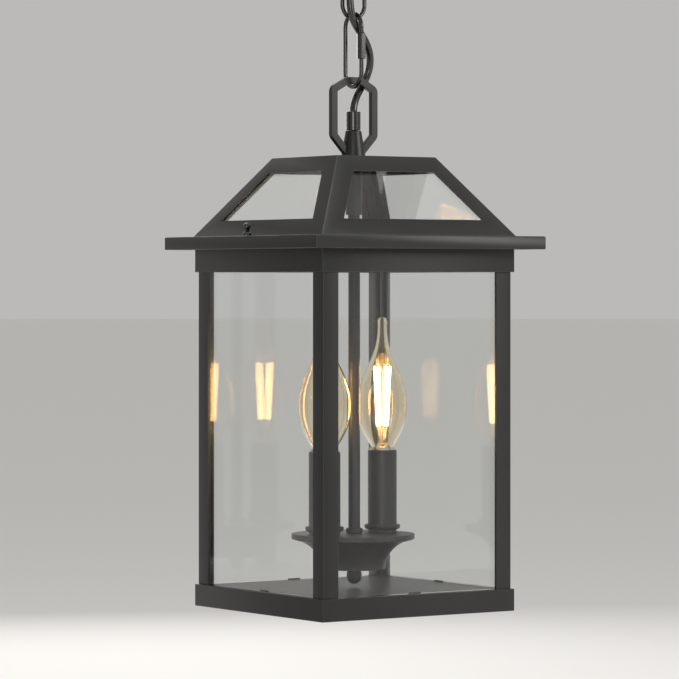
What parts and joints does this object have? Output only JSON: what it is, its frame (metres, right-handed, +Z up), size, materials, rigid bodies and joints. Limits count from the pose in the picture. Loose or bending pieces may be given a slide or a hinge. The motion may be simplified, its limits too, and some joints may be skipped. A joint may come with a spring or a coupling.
{
  "type": "hanging lantern",
  "caption": "Square metal-framed hanging lantern with a glazed pyramid roof, glass sides and candle lamps on a central dish, hung from a ceiling canopy by chain links with a cord.",
  "frame": {"origin": "centre of the mounting strap's upper face, where the lantern's axis meets the ceiling", "axes": "+Z up along the lantern's axis, +X to the right lamp, -Y to the front pane"},
  "size_m": [0.229, 0.229, 0.6092],
  "materials": {
    "satin_black": "satin powder coat",
    "gloss_black": "gloss enamel",
    "zinc_steel": "zinc plated",
    "clear_glass": "clear",
    "bulb_glass": "clear",
    "lamp_cap": "rolled thread",
    "phenolic": "moulded",
    "cord_jacket": "smooth jacket"
  },
  "bodies": {
    "ceiling_mount": {"ceiling_strap": "zinc_steel", "strap_coupling": "zinc_steel", "ceiling_nipple": "zinc_steel", "canopy": "satin_black", "canopy_loop": "gloss_black", "canopy_gland": "gloss_black"},
    "chain_link": {"chain_link": "gloss_black", "cord_upper": "cord_jacket"},
    "quick_link": {"quick_link": "gloss_black", "cord_middle": "cord_jacket"},
    "quick_link_nut": {"quick_link_nut": "gloss_black"},
    "lantern": {"hanger_loop": "gloss_black", "cord_gland": "gloss_black", "head_nipple": "zinc_steel", "head_nut": "zinc_steel", "roof_frame": "satin_black", "eave_tray": "satin_black", "roof_pane_front": "clear_glass", "roof_pane_right": "clear_glass", "roof_pane_back": "clear_glass", "roof_pane_left": "clear_glass", "stem_coupling": "satin_black", "stem_tube": "satin_black", "stem_nut": "satin_black", "stem_cord": "cord_jacket", "cluster_dish": "satin_black", "dish_cover": "satin_black", "dish_finial": "satin_black", "candle_cup_left": "satin_black", "candle_sleeve_left": "satin_black", "lamp_socket_left": "phenolic", "candle_cup_right": "satin_black", "candle_sleeve_right": "satin_black", "lamp_socket_right": "phenolic", "cord_lower": "cord_jacket"},
    "cage": {"collar_frame": "satin_black", "base_frame": "satin_black", "floor_plate": "satin_black", "post_front_left": "satin_black", "post_front_right": "satin_black", "post_back_left": "satin_black", "post_back_right": "satin_black", "pane_front": "clear_glass", "pane_right": "clear_glass", "pane_back": "clear_glass", "pane_left": "clear_glass", "pane_clip_front": "zinc_steel", "pane_clip_right": "zinc_steel", "pane_clip_back": "zinc_steel", "pane_clip_left": "zinc_steel", "weld_nut_left": "zinc_steel", "weld_nut_right": "zinc_steel"},
    "thumb_screw_left": {"thumb_screw_left": "gloss_black"},
    "thumb_screw_right": {"thumb_screw_right": "gloss_black"},
    "bulb_left": {"bulb_glass_left": "bulb_glass", "bulb_base_left": "lamp_cap", "bulb_stem_left": "bulb_glass"},
    "bulb_right": {"bulb_glass_right": "bulb_glass", "bulb_base_right": "lamp_cap", "bulb_stem_right": "bulb_glass"}
  },
  "joints": [
    {"name": "chain_link_swing", "type": "hinge", "parent": "ceiling_mount", "child": "chain_link", "pos_m": [0, 0, -0.0886], "axis": [0, 1, 0], "range_deg": [-20, 20], "deforming": ["cord_upper"]},
    {"name": "quick_link_swing", "type": "hinge", "parent": "chain_link", "child": "quick_link", "pos_m": [0, 0, -0.1177], "axis": [1, 0, 0], "range_deg": [-20, 20], "deforming": ["cord_middle"]},
    {"name": "lantern_swing", "type": "hinge", "parent": "quick_link", "child": "lantern", "pos_m": [0, 0, -0.1749], "axis": [0, 1, 0], "range_deg": [-20, 20], "deforming": ["cord_lower"]},
    {"name": "quick_link_nut_travel", "type": "slide", "parent": "quick_link", "child": "quick_link_nut", "axis": [0, 0, -1], "range_m": [0, 0.01]},
    {"name": "cage_lowering", "type": "slide", "parent": "lantern", "child": "cage", "axis": [0, 0, -1], "range_m": [0, 0.28]},
    {"name": "thumb_screw_left_turn", "type": "hinge", "parent": "lantern", "child": "thumb_screw_left", "pos_m": [-0.10575, 0, -0.2997], "axis": [0, 0, 1], "continuous": true},
    {"name": "thumb_screw_right_turn", "type": "hinge", "parent": "lantern", "child": "thumb_screw_right", "pos_m": [0.10575, 0, -0.2997], "axis": [0, 0, 1], "continuous": true},
    {"name": "bulb_left_turn", "type": "hinge", "parent": "lantern", "child": "bulb_left", "pos_m": [-0.0286, 0, -0.4779], "axis": [0, 0, 1], "continuous": true},
    {"name": "bulb_right_turn", "type": "hinge", "parent": "lantern", "child": "bulb_right", "pos_m": [0.0286, 0, -0.4779], "axis": [0, 0, 1], "continuous": true}
  ]
}
